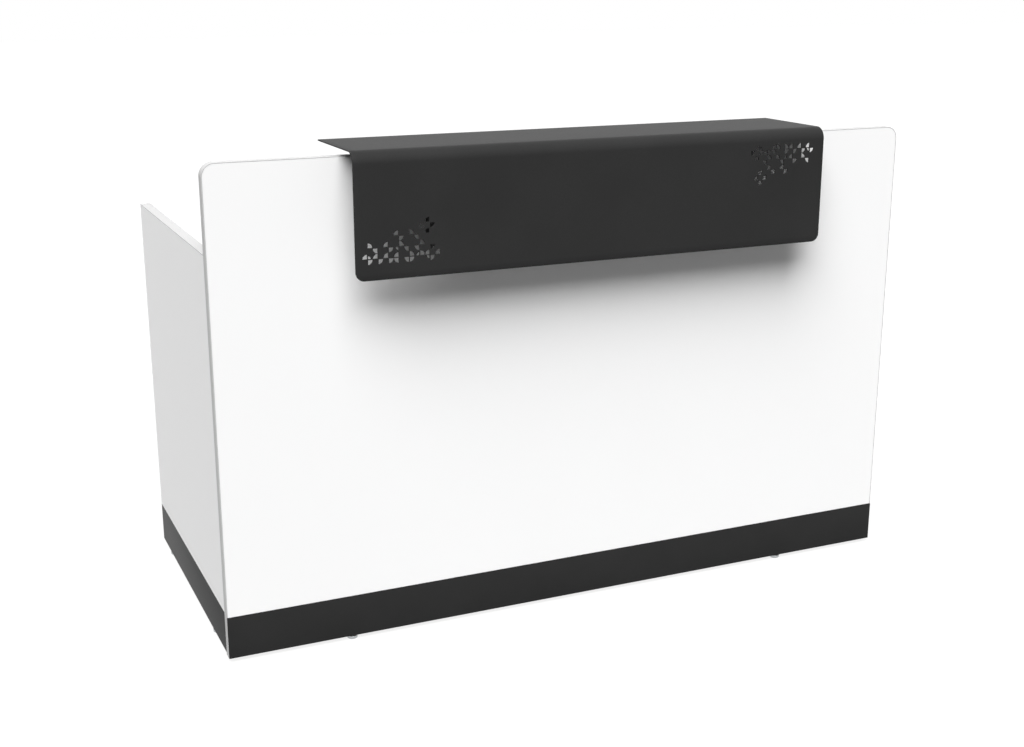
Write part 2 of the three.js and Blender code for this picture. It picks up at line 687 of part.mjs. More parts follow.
// Cable grommet: a flanged liner with a ledge, and a cap with a notch for cables, both level
// with the worktop at the origin
function grommets() {
  const flange = GROMMET_FLANGE_DIAMETER / 2;
  const sleeve = GROMMET_HOLE / 2 - FIT;
  const cap = CAP_DIAMETER / 2;
  const mouth = cap + FIT;
  const throat = mouth - GROMMET_LEDGE;
  const ledge = -CAP_HEIGHT - FIT;
  const liner = turned([
    [mouth, 0], [mouth, ledge], [throat, ledge], [throat, -GROMMET_DEPTH], [sleeve, -GROMMET_DEPTH],
    [sleeve, -GROMMET_FLANGE_HEIGHT], [flange, -GROMMET_FLANGE_HEIGHT], [flange, 0], [mouth, 0],
  ]);
  const half = CAP_NOTCH_WIDTH / 2;
  const notch = new THREE.Shape();
  notch.moveTo(half, -cap - PAST);
  notch.absarc(0, CAP_NOTCH_DEPTH - cap - half, half, 0, Math.PI);
  notch.lineTo(-half, -cap - PAST);
  const disc = cut(
    bar(CAP_DIAMETER, 'z', 0, 0, -CAP_HEIGHT, 0),
    slab(notch, 'z', -CAP_HEIGHT - PAST, PAST),
  );
  const group = new THREE.Group();
  desk.add(group);
  for (const [end, hand] of ENDS) {
    const at = [hand * grommetAcross, grommetAlong, WORKTOP_TOP];
    piece(`${end}_grommet`, liner, GROMMET_BLACK, group, at);
    piece(`${end}_grommet_cap`, disc, GROMMET_BLACK, group, at);
  }
}

frontPanel();
ENDS.forEach(([end, hand]) => sidePanel(end, hand));
worktop();
cleats();
hob();
ENDS.forEach(([end, hand]) => bracket(end, hand));
hobFasteners();
camFittings();
levellingFeet();
grommets();

export default desk;
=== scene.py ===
"""Reception desk: fine surfaces, finishes and a small studio, built round the desk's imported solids.

Metres, +Z up, visitors on the -Y side. Every surface is worked out as whole numpy arrays.
"""

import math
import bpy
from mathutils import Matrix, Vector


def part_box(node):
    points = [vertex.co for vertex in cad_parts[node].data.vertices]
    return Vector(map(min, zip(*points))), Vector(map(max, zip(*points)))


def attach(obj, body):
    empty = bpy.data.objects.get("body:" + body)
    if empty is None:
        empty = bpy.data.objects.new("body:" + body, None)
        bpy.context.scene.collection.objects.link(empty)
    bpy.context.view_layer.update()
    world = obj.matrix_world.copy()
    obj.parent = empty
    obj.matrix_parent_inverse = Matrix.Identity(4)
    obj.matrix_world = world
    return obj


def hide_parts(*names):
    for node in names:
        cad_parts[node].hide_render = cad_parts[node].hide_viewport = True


bl_info = {
    "name": "Reception desk",
    "version": (1, 0, 0),
    "blender": (4, 5, 0),
    "location": "View3D > Sidebar > Desk",
    "description": "Surfaces, finishes and studio for a reception desk with a perforated hob",
    "category": "Object",
}

import bmesh
import bpy
import numpy as np
from mathutils import Vector

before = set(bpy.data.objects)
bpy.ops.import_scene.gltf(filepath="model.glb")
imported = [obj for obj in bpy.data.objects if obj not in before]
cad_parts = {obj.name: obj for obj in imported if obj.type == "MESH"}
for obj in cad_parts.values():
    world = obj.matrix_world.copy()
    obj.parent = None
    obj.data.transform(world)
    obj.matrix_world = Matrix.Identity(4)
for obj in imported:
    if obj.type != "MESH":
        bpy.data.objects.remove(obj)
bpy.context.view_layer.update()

MM = 0.001
TURN = 2 * math.pi
QUARTER = math.pi / 2
ENDS = (("left", -1), ("right", 1))
FEET = ("front_left", "front_right", "left_fore", "left_rear", "right_fore", "right_rear")

# Small lengths of fasteners and mouldings. FIT is the play where one part sits in another.
FIT = 0.25 * MM
BRACKET_SHANK = 2.2 * MM
CLEAT_SHANK = 2 * MM
STUD_PITCH = 1 * MM
STEM_PITCH = 1.25 * MM
NUT_BITE = 0.2 * MM
SLOT_DEPTH = 3 * MM
FOOT_EASE = 0.6 * MM
SLEEVE = 40 * MM
FLANGE = 2.5 * MM
LINER_EASE = 0.5 * MM
CAP_EASE = 0.8 * MM

# Weld round a stud: radius and height of its outline in millimetres, and the ease of its corners.
WELD = ((0, 0.1), (4.2, 0.1), (3.4, -0.9), (0, -0.9))
WELD_EASE = 0.4 * MM

# A thread's depth as a share of its pitch, a nut's flat face as a share of its flats, and the
# slope of the cone that cuts its corners.
THREAD_DEPTH = 0.51
NUT_FACE = 0.97
NUT_CONE = math.radians(30)

# Studio: half the floor's width, and how far off the lamps are drawn, in metres.
FLOOR_REACH = 30.0
LAMP_DISTANCE = 6.0

# The hob's perforation, one mark for a quarter circle: # full size, o small, . left solid.
PATTERN = (
    "............#..",
    "...........#.#.",
    "......#..#..#..",
    ".......#..#....",
    ".#..#..#...#...",
    "..#..#o.#.#..#.",
    "#o#.#.#..#o##.#",
    ".#.#.##.##..o#.",
)

# Fineness of the surfaces: steps or points along each curve, and lines of each grid.
ROUND_STEPS = 64
THREAD_STEPS = 24
THREAD_ROWS = 8
HEAD_RINGS = 15
FLAT_STEPS = 12
EASE_STEPS = 4
BEND_STEPS = 20
ARC_POINTS = 13
FAN_POINTS = 9
RIM_POINTS = 3
FILL_LINES = 12
SHELF_LINES = 6
CAM_ROWS = 41
SHARP_EDGE = math.radians(32)
SAME_POINT = 1e-6


# Sizes and colours that a user would change

def linear(code):
    """An sRGB hex colour as linear red, green, blue and alpha."""
    shares = [int(code[i:i + 2], 16) / 255 for i in (1, 3, 5)]
    return (*(s / 12.92 if s <= 0.04045 else ((s + 0.055) / 1.055) ** 2.4 for s in shares), 1.0)


def number(name, description, default, **kind):
    """A number property."""
    return bpy.props.FloatProperty(name=name, description=description, default=default, **kind)


def length(name, description, millimetres):
    """A length property, its default given in millimetres."""
    return number(name, description, millimetres * MM, unit="LENGTH", precision=5)


def colour(name, description, code):
    """A colour property, its default given as an sRGB hex value."""
    return bpy.props.FloatVectorProperty(
        name=name, description=description, default=linear(code),
        subtype="COLOR", size=4, min=0, max=1)


class DeskSizes(bpy.types.PropertyGroup):
    """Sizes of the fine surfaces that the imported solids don't give"""

    sheet: length("Hob sheet", "Thickness of the hob's steel sheet", 3)
    bend: length("Hob bend", "Outer radius of the bend between shelf and apron", 28)
    apron_corner: length("Apron corner", "Radius of the apron's two lower corners", 20)
    shelf_corner: length("Shelf corner", "Radius of the shelf's two rear corners", 3)
    rim: length("Sheet rim", "Radius that the coating gives every edge of the sheet", 0.4)
    circle_pitch: length(
        "Circle pitch", "Spacing of the circles that the perforation is cut from", 24)
    web: length("Web", "Steel left between the quarters of a circle", 2)
    quarter: length("Quarter radius", "Radius of a full quarter", 10.5)
    small_quarter: length("Small quarter radius", "Radius of a small quarter", 6.5)
    pattern_low: length("Pattern height", "First row of circles above the apron's lower edge", 47)
    pattern_left: length("Left cluster", "First column of circles from the hob's left end", 28)
    pattern_right: length("Right cluster", "First column of circles from the hob's right end", 40)
    edging: length("Edging", "Thickness of the boards' plastic edging", 2)
    arris: length("Edging arris", "Radius along both arrises of the edging", 1)
    panel_corner: length("Panel corner", "Radius of the front panel's top corners", 30)
    side_corner: length("Side corner", "Radius of a side panel's top rear corner", 4)
    kick_arris: length("Kick arris", "Radius along the edges of a kick plate", 0.5)
    stud: length("Weld stud", "Diameter of the weld studs under the shelf", 6)
    stud_length: length("Weld stud length", "Reach of a weld stud below the shelf", 12)
    foot_height: length("Foot base", "Height of a levelling foot's base", 8)
    foot_chamfer: length("Foot chamfer", "Chamfer under a levelling foot's base", 2)
    stem: length("Foot stem", "Diameter of a levelling foot's threaded stem", 8)
    screw_head: length("Screw head", "Diameter of a pan-head screw's head", 9.5)
    screw_dome: length("Screw dome", "Height of a pan-head screw's head", 3)
    cleat_wall: length("Cleat wall", "Thickness of the worktop angles", 3)
    cleat_end: length("Cleat screws", "First screw from the end of a worktop angle", 40)
    cam_slot: length("Cam slot", "Width of the driver slot in a cam", 2.5)
    ledge: length("Grommet ledge", "Width of the ledge that carries a grommet's cap", 3)
    cap_height: length("Grommet cap", "Thickness of a grommet's cap", 4)
    notch: length("Cable notch", "Width of the notch in a grommet's cap", 26)
    notch_depth: length("Cable notch depth", "Depth of the notch in a grommet's cap", 20)


class DeskColours(bpy.types.PropertyGroup):
    """Colours of the desk's finishes"""

    board: colour("Uprights", "White melamine of the front and side panels", "#F9F9F9")
    # Painted shade: the worktop is white melamine like the uprights, and this grey darkens its top,
    # which the high key lamp lights more than the fronts.
    worktop: colour("Worktop", "Grey-white melamine of the worktop", "#BEBEBE")
    chip: colour("Chipboard", "Raw chipboard on the boards' lower edges", "#B3946B")
    # Painted shade: the edging is white like the boards, and this grey darkens the top edges, which
    # the high key lamp lights more than the fronts.
    edge: colour("Edging", "Grey-white edging of the boards", "#C1C1C1")
    kick: colour("Kick plates", "Near-black laminate of the kick plates", "#2D2D2D")
    powder: colour("Hob", "Black powder coat of the hob", "#2F2F2F")
    bracket: colour("Brackets", "Matt black powder coat of the brackets", "#141414")
    galvanised: colour("Angles", "Galvanised sheet of the worktop angles", "#B4B9BC")
    zinc: colour("Fasteners", "Bright zinc plate of screws, nuts and cams", "#CACDCE")
    foot: colour("Feet", "Zinc plate on the turned feet", "#B9BCBE")
    plastic: colour("Grommets", "Black moulded plastic of the grommets", "#1C1C1D")
    floor: colour("Floor", "Pale studio floor, as it lights the desk from below", "#747474")


class DeskStudio(bpy.types.PropertyGroup):
    """Camera and lamps"""

    camera_place: bpy.props.FloatVectorProperty(
        name="Camera place", description="Where the camera stands", subtype="TRANSLATION",
        unit="LENGTH", default=(-1.51524, -3.33702, 1.53992))
    heading: number("Heading", "Turn of the camera from the desk's depth towards its right",
                    math.radians(23.951), subtype="ANGLE")
    tilt: number("Tilt", "How far the camera looks down", math.radians(15.830), subtype="ANGLE")
    lens: number("Lens", "Focal length on a 36 mm sensor", 50.13, unit="CAMERA")
    key: number("Key lamp", "Strength of the wide soft lamp above the visitors' left", 5.0)
    rear: number("Rear lamp", "Strength of the wide soft lamp behind the desk", 1.1)
    ambient: number("Ambient", "Strength of the even light from all round", 0.11)
    floor_white: number(
        "Floor white", "White that the eye sees in the floor's deepest shadow", 0.82)


def given(context):
    """The sizes and the colours set in the scene."""
    return context.scene.desk_sizes, context.scene.desk_colours


# Surfaces: grids of points, turned forms and profiles carried along a path

def limits(node):
    """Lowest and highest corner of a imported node, as arrays."""
    low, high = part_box(node)
    return np.array(low), np.array(high)


def run_of(points):
    """Length travelled along a row of points, starting at nought."""
    steps = np.linalg.norm(np.diff(points, axis=0), axis=1)
    return np.r_[0.0, np.cumsum(steps)]


def quads(corner):
    """Every four-sided face of a grid of corner numbers, or of a stack of such grids."""
    faces = [corner[..., :-1, :-1], corner[..., :-1, 1:], corner[..., 1:, 1:], corner[..., 1:, :-1]]
    return np.stack(faces, -1).reshape(-1, 4)


def grid_shell(points, uv=None, ends=False):
    """A grid of points as one shell of faces. A closed grid repeats its first column as its last,
    and ends fills the first and the last row with one face each."""
    rows, columns = points.shape[:2]
    faces = quads(np.arange(rows * columns).reshape(rows, columns)).tolist()
    if ends:
        ring = list(range(columns - 1))
        faces += [ring, [(rows - 1) * columns + i for i in ring]]
    spread = np.zeros((rows, columns, 2)) if uv is None else uv
    return points.reshape(-1, 3), faces, spread.reshape(-1, 2)


def turned(radius, height, centre):
    """A form turned about an upright axis. Radius and height hold one row for each point of the
    profile, and either one column or one for each angle, so that a radius may also wind round."""
    radius, height = np.atleast_2d(radius), np.atleast_2d(height)
    steps = max(radius.shape[1], height.shape[1])
    angle = np.linspace(0, TURN, steps if steps > 1 else ROUND_STEPS + 1)
    radius, height = np.broadcast_arrays(radius + 0 * angle, height + 0 * angle)
    points = np.stack([radius * np.cos(angle), radius * np.sin(angle), height], -1)
    run = run_of(np.stack([radius[:, 0], height[:, 0]], -1))
    uv = np.stack(np.broadcast_arrays(angle * radius.max() + 0 * radius, run[:, None]), -1)
    return grid_shell(points + np.asarray(centre), uv)


def eased(points, radius, closed):
    """An outline with its corners eased: each corner gives way to a curve of second degree that
    leaves one side and reaches the next at the radius from the corner."""
    points = np.asarray(points, float)
    sides = np.array([np.roll(points, step, axis=0) - points for step in (1, -1)])
    runs = np.linalg.norm(sides, axis=2, keepdims=True)
    start, end = points + sides * np.minimum(radius / runs, 0.5)
    share = np.linspace(0, 1, EASE_STEPS + 1)[None, :, None]
    curve = (1 - share) ** 2 * start[:, None] + 2 * share * (1 - share) * points[:, None]
    curve = curve + share ** 2 * end[:, None]
    if closed:
        loop = curve.reshape(-1, 2)
        return np.concatenate([loop, loop[:1]])
    return np.concatenate([points[:1], curve[1:-1].reshape(-1, 2), points[-1:]])


def threaded(centre, diameter, pitch, start, end):
    """A threaded bar: its radius falls and rises as a triangle wave of the height less the share
    of a turn, so that the ridge climbs one pitch in each turn. Both ends close on the axis."""
    angle = np.linspace(0, TURN, THREAD_STEPS + 1)
    height = np.linspace(start, end, int(THREAD_ROWS * abs(end - start) / pitch))[:, None]
    wave = (height / pitch - angle / TURN) % 1
    radius = diameter / 2 - THREAD_DEPTH * pitch * np.abs(2 * wave - 1)
    still = np.zeros((1, angle.size))
    radius = np.concatenate([still, radius, still])
    height = np.concatenate([height[:1], height, height[-1:]])
    return turned(radius, height, centre)


def rounded_box(low, high, radius):
    """A box with round edges: a ball's grid of latitudes and longitudes, its eight parts drawn
    apart to the corners of a box that is smaller all round by the radius."""
    quarter = np.linspace(0, QUARTER, EASE_STEPS + 1)
    around = np.concatenate([quarter + QUARTER * i for i in range(4)])
    sign_x = np.repeat([1, -1, -1, 1], quarter.size)
    sign_y = np.repeat([1, 1, -1, -1], quarter.size)
    rise = np.r_[quarter - QUARTER, quarter][:, None]
    sign_z = np.repeat([-1, 1], quarter.size)[:, None]
    around, sign_x, sign_y = (np.append(a, a[0])[None, :] for a in (around, sign_x, sign_y))
    ball = np.broadcast_arrays(
        np.cos(rise) * np.cos(around), np.cos(rise) * np.sin(around), np.sin(rise))
    apart = np.broadcast_arrays(sign_x, sign_y, sign_z)
    half = (high - low) / 2 - radius
    points = (low + high) / 2 + radius * np.stack(ball, -1) + half * np.stack(apart, -1)
    points, faces, uv = grid_shell(points)
    columns = around.size
    ring = np.arange(4) * quarter.size
    last = len(points) - columns
    return points, [*faces, ring.tolist(), (ring + last).tolist()], uv


def banding(line, outward, axis, low, high, sizes):
    """Edging along a board: a flat section with two round arrises, carried along the line of the
    board's outline. Depth runs in from the line, and across runs along the board's thickness
    between the low and high that each point of the line gives."""
    turn = np.linspace(0, QUARTER, EASE_STEPS + 2)
    arris = sizes.arris
    near = arris - arris * np.sin(turn)
    step = arris - arris * np.cos(turn)
    depth = np.r_[sizes.edging, near, near[::-1], sizes.edging, sizes.edging]
    offset = np.r_[0, step, -step[::-1], 0, 0]
    far = np.repeat([0, 1, 0], [turn.size + 1, turn.size + 1, 1])
    across = np.where(far, np.asarray(high)[:, None], np.asarray(low)[:, None]) + offset
    points = line[:, None, :] - outward[:, None, :] * depth[None, :, None]
    points = points + np.asarray(axis, float) * across[..., None]
    section = run_of(np.stack([depth, across[0]], -1))
    uv = np.stack(np.broadcast_arrays(run_of(line)[:, None], section[None, :]), -1)
    return grid_shell(points, uv, ends=True)


def upright_band(axis, run, rise, angle, low, high, sizes):
    """Edging of an upright board, its outline given along one level axis and along Z, with the
    angle that it faces at each point."""
    line, outward = np.zeros((2, run.size, 3))
    line[:, axis], line[:, 2] = run, rise
    outward[:, axis], outward[:, 2] = np.cos(angle), np.sin(angle)
    return banding(line, outward, np.eye(3)[1 - axis], low, high, sizes)


def pan_head(sizes, shank, reach):
    """A pan-head screw on the origin, head along +Z: rings from the middle of the dome out to the
    rim and down the shank. The dome falls with the fourth power of the radius, and a cross sinks
    into it where the point lies near either of two lines through the middle."""
    radius, dome = sizes.screw_head / 2, sizes.screw_dome
    half_width, slope, arm, tip = (share * radius for share in (0.144, 0.06, 0.56, 0.08))
    fall, sink = 0.45 * dome, 0.55 * dome
    angle = np.linspace(0, TURN, 2 * THREAD_STEPS + 1)
    ring = radius * np.linspace(0, 1, HEAD_RINGS)[:, None] + 0 * angle
    near_line = np.minimum(np.abs(ring * np.cos(angle)), np.abs(ring * np.sin(angle)))
    cross = np.clip((half_width - near_line) / slope, 0, 1) * np.clip((arm - ring) / tip, 0, 1)
    top = dome - fall * (ring / radius) ** 4 - sink * cross
    lower = np.array([[radius, 0], [shank, 0], [shank, -reach], [0, -reach]])
    rings = np.concatenate([ring, lower[:, :1] + 0 * angle])
    heights = np.concatenate([top, lower[:, 1:] + 0 * angle])
    return turned(rings, heights, (0, 0, 0))


def hex_nut(across_flats, bore, low, high, centre):
    """A hexagon nut: the hexagon's own radius, which is least at the flats, cut at both ends by a
    cone, so that the corners dip below the faces in curves."""
    angle = np.linspace(0, TURN, 6 * FLAT_STEPS + 1)
    flat, level = across_flats / 2, 0 * angle
    face = NUT_FACE * flat
    hexagon = flat / np.cos((angle + TURN / 12) % (TURN / 6) - TURN / 12)
    dip = (hexagon - face) * math.tan(NUT_CONE)
    radius = [bore + level, face + level, hexagon, hexagon, face + level, bore + level]
    height = [low + level, low + level, low + dip, high - dip, high + level, high + level]
    return turned(np.array([*radius, radius[0]]), np.array([*height, height[0]]), centre)


def set_along(shell, places, way):
    """Copies of a shell that stands on the origin along +Z, set at each place along one way."""
    points, faces, uv = shell
    turn = Vector(way).to_track_quat("Z", "Y").to_matrix()
    moved = points @ np.array(turn).T
    return [(moved + np.asarray(place), faces, uv) for place in places]


def placed(name, data):
    """A new object in the scene that holds the data."""
    made = bpy.data.objects.new(name, data)
    bpy.context.scene.collection.objects.link(made)
    return made


def make_piece(name, shells, finish, body="desk", stands_for=()):
    """One finished piece from its shells: doubled points merged, faces turned outwards, smooth
    but for sharp edges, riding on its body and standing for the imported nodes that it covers."""
    points, rings, spread = zip(*shells)
    first = np.cumsum([0, *map(len, points)]).tolist()
    faces = [[start + i for i in ring] for start, part in zip(first, rings) for ring in part]
    mesh = bpy.data.meshes.new(name)
    mesh.from_pydata(np.concatenate(points).tolist(), [], faces)
    corners = np.empty(len(mesh.loops), np.int32)
    mesh.loops.foreach_get("vertex_index", corners)
    spread = np.concatenate(spread)[corners].astype(np.float32)
    mesh.uv_layers.new(name="UVMap").data.foreach_set("uv", spread.ravel())
    merged = bmesh.new()
    merged.from_mesh(mesh)
    bmesh.ops.remove_doubles(merged, verts=merged.verts, dist=SAME_POINT)
    bmesh.ops.dissolve_degenerate(merged, edges=merged.edges, dist=SAME_POINT)
    bmesh.ops.recalc_face_normals(merged, faces=merged.faces)
    merged.to_mesh(mesh)
    merged.free()
    mesh.shade_smooth()
    mesh.set_sharp_from_angle(angle=SHARP_EDGE)
    mesh.materials.append(finish)
    made = placed(name, mesh)
    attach(made, body)
    if stands_for:
        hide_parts(*stands_for)
    return made


# Finishes

def add(tree, kind, links=None, **settings):
    """One shader node with its settings, each input linked to a socket or set to a value.
    It gives the node's outputs."""
    node = tree.nodes.new(kind)
    for name, value in settings.items():
        setattr(node, name, value)
    for name, value in (links or {}).items():
        if isinstance(value, bpy.types.NodeSocket):
            tree.links.new(value, node.inputs[name])
        else:
            node.inputs[name].default_value = value
    return node.outputs


def cleared(owner):
    """The node tree of a material or a world, emptied."""
    owner.use_nodes = True
    owner.node_tree.nodes.clear()
    return owner.node_tree


def new_finish(name, sockets):
    """A material with one shader, whose constant values sit on the shader's own sockets."""
    made = bpy.data.materials.new(name)
    tree = cleared(made)
    surface = add(tree, "ShaderNodeBsdfPrincipled", sockets)["BSDF"]
    add(tree, "ShaderNodeOutputMaterial", {"Surface": surface})
    return made, tree, surface.node, add(tree, "ShaderNodeTexCoord")


def shade(hue, share):
    """A colour made darker or lighter by a share of itself."""
    return (*(min(1.0, c * share) for c in hue[:3]), 1.0)


def follow(tree, shader, pattern, hues=None, rough=None, relief=None):
    """Lets a shader follow a pattern, where each is given: its colour between two hues, its
    roughness between two values, and its relief with a strength and a height."""
    made = {}
    if hues:
        made["Base Color"] = add(tree, "ShaderNodeMix", {
            0: pattern, 6: tuple(hues[0]), 7: tuple(hues[1])}, data_type="RGBA")[2]
    if rough:
        made["Roughness"] = add(tree, "ShaderNodeMapRange", {
            "Value": pattern, "To Min": rough[0], "To Max": rough[1]})[0]
    if relief:
        made["Normal"] = add(tree, "ShaderNodeBump", {
            "Height": pattern, "Strength": relief[0], "Distance": relief[1]})[0]
    for name, socket in made.items():
        tree.links.new(socket, shader.inputs[name])


def melamine_board(colours, hue, raw_edge):
    """Chipboard pressed with satin white melamine. It gives the eye an even white with a faint
    pearly emboss in the sheen, and coarse tan chips where a lower edge is left raw."""
    made, tree, shader, place = new_finish(
        "melamine_faced_chipboard" if raw_edge else "melamine_worktop_painted_shade", {"Specular IOR Level": 0.2})
    where = place["Object"]
    cloud = add(tree, "ShaderNodeTexNoise", {
        "Vector": where, "Scale": 1 / (220 * MM), "Detail": 2.0})
    follow(tree, shader, cloud["Fac"], hues=(shade(hue, 0.985), hue))
    # The pressed emboss is about 0.4 mm; it is drawn at 3 mm so that it shows in the sheen.
    emboss = add(tree, "ShaderNodeTexNoise", {
        "Vector": where, "Scale": 1 / (3 * MM), "Detail": 3.0})
    follow(tree, shader, emboss["Fac"], rough=(0.34, 0.46), relief=(0.12, 0.15 * MM))
    if raw_edge:
        white = shader.inputs["Base Color"].links[0].from_socket
        normal = add(tree, "ShaderNodeNewGeometry")["True Normal"]
        down = add(tree, "ShaderNodeSeparateXYZ", {0: normal})["Z"]
        raw = add(tree, "ShaderNodeMath", {0: down, 1: -0.5}, operation="LESS_THAN")[0]
        chips = add(tree, "ShaderNodeTexVoronoi", {"Vector": where, "Scale": 1 / (3.5 * MM)})
        flake = add(tree, "ShaderNodeSeparateColor", {0: chips["Color"]})[0]
        wood = add(tree, "ShaderNodeMix", {
            0: flake, 6: shade(colours.chip, 0.55), 7: tuple(colours.chip)}, data_type="RGBA")
        both = add(tree, "ShaderNodeMix", {0: raw, 6: white, 7: wood[2]}, data_type="RGBA")
        tree.links.new(both[2], shader.inputs["Base Color"])
    return made


def lined(name, sockets, hue, darkest, run, gap, rough, relief):
    """Fine lines as a die or a lathe leaves them: noise drawn out to the run along the piece and
    narrowed to the gap across it, in the tone, the sheen and the relief."""
    made, tree, shader, place = new_finish(name, sockets)
    scale = (1 / run, 1 / gap, 1.0)
    along = add(tree, "ShaderNodeMapping", {"Vector": place["UV"], "Scale": scale})
    lines = add(tree, "ShaderNodeTexNoise", {"Vector": along[0], "Scale": 1.0, "Detail": 2.0})
    follow(tree, shader, lines["Fac"], hues=(shade(hue, darkest), hue), rough=rough, relief=relief)
    return made


def abs_edging(colours):
    """White ABS strip, extruded, with faint drawn lines along its length in the sheen. Its white is
    drawn greyer than the board's as painted shade, so that its top faces read darker than the fronts
    under the high key lamp. The lines are about 0.2 mm apart, drawn at 0.8 mm and 60 mm long so that
    they show."""
    return lined("extruded_abs_edging_painted_shade", {"Specular IOR Level": 0.04}, colours.edge, 0.97,
                 60 * MM, 0.8 * MM, rough=(0.28, 0.42), relief=(0.1, 0.05 * MM))


def pebbled(name, hue, grain, light, rough, level):
    """A fine pebbled black: cells of the grain's size raised a little, each a shade of its own,
    under a slow drift in tone, with the roughness following the grain."""
    made, tree, shader, place = new_finish(name, {"IOR": 1.45, "Specular IOR Level": level})
    where = place["Object"]
    cells = add(tree, "ShaderNodeTexNoise", {"Vector": where, "Scale": 1 / grain, "Detail": 4.0})
    drift = add(tree, "ShaderNodeTexNoise", {
        "Vector": where, "Scale": 1 / (90 * grain), "Detail": 2.0})
    both = add(tree, "ShaderNodeMath", {
        0: cells["Fac"], 1: drift["Fac"]}, operation="MULTIPLY")
    tone = add(tree, "ShaderNodeMapRange", {"Value": both[0], "From Min": 0.1, "From Max": 0.4})
    follow(tree, shader, tone[0], hues=(shade(hue, 0.92), shade(hue, light)))
    follow(tree, shader, cells["Fac"], rough=(rough - 0.08, rough + 0.1),
           relief=(0.25, 0.12 * grain))
    return made


def laminate_kick(colours):
    """High-pressure laminate, pressed with a pebbled plate: a satin near-black that picks up the
    floor at a low angle. The pebble is about 0.5 mm, drawn at 1.5 mm so that it shows."""
    return pebbled("pressed_laminate_black", colours.kick, 1.5 * MM, 1.08, 0.42, 0.04)


def powder_coat(colours):
    """Steel sheet under a baked powder coat: satin black with fine orange peel that breaks the
    sheen. The peel is about 0.8 mm, drawn at 1.8 mm so that it shows."""
    return pebbled("powder_coated_steel", colours.powder, 1.8 * MM, 1.08, 0.54, 0.05)


def matt_powder_coat(colours):
    """Bracket plate under a matt powder coat: nearly no sheen, so it reads as a dark hollow."""
    return pebbled("matt_powder_coated_steel", colours.bracket, 1.2 * MM, 1.1, 0.62, 0.3)


def moulded_plastic(colours):
    """Black ABS from a spark-eroded mould: a dry, finely pitted black. The pits are about 0.2 mm,
    drawn at 0.7 mm so that they show."""
    return pebbled("moulded_abs_black", colours.plastic, 0.7 * MM, 1.2, 0.5, 0.5)


def galvanised_sheet(colours):
    """Hot-dip galvanised sheet: flat crystals of zinc some 9 mm across, each with its own tone and
    gloss, which gives the eye a quilt of greys."""
    made, tree, shader, place = new_finish("galvanised_sheet_steel", {"Metallic": 1.0})
    where = place["Object"]
    bent = add(tree, "ShaderNodeTexNoise", {"Vector": where, "Scale": 1 / (6 * MM), "Detail": 2.0})
    shift = add(tree, "ShaderNodeVectorMath", {
        0: bent["Color"], 1: (4 * MM, 4 * MM, 4 * MM)}, operation="MULTIPLY")
    moved = add(tree, "ShaderNodeVectorMath", {0: where, 1: shift[0]}, operation="ADD")
    spangle = add(tree, "ShaderNodeTexVoronoi", {"Vector": moved[0], "Scale": 1 / (9 * MM)})
    tone = add(tree, "ShaderNodeSeparateColor", {0: spangle["Color"]})[0]
    hue = colours.galvanised
    follow(tree, shader, tone, hues=(shade(hue, 0.72), hue), rough=(0.3, 0.52))
    return made


def zinc_plate(colours):
    """Bright zinc plate on pressed steel: a pale bluish metal, softly mottled some 2 mm across."""
    made, tree, shader, place = new_finish("bright_zinc_plate", {"Metallic": 1.0})
    mottle = add(tree, "ShaderNodeTexNoise", {
        "Vector": place["Object"], "Scale": 1 / (2 * MM), "Detail": 3.0})
    hue = colours.zinc
    follow(tree, shader, mottle["Fac"], hues=(shade(hue, 0.8), hue), rough=(0.22, 0.4))
    return made


def turned_zinc(colours):
    """Turned steel under zinc plate: fine lathe rings, 0.15 mm apart and drawn at 0.5 mm so that
    they show, which stretch every highlight across the turning."""
    return lined("turned_zinc_plated_steel", {"Metallic": 1.0}, colours.foot, 0.72,
                 400 * MM, 0.5 * MM, rough=(0.25, 0.45), relief=(0.3, 0.05 * MM))


def shared(maker, colours):
    """A finish that several operators use, made once."""
    kept = getattr(maker, "kept", None)
    if kept is None or kept.name not in bpy.data.materials:
        maker.kept = maker(colours)
    return maker.kept


def dress(finish, *nodes):
    """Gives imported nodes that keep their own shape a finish."""
    for node in nodes:
        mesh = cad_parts[node].data
        mesh.materials.clear()
        mesh.materials.append(finish)


# Hob

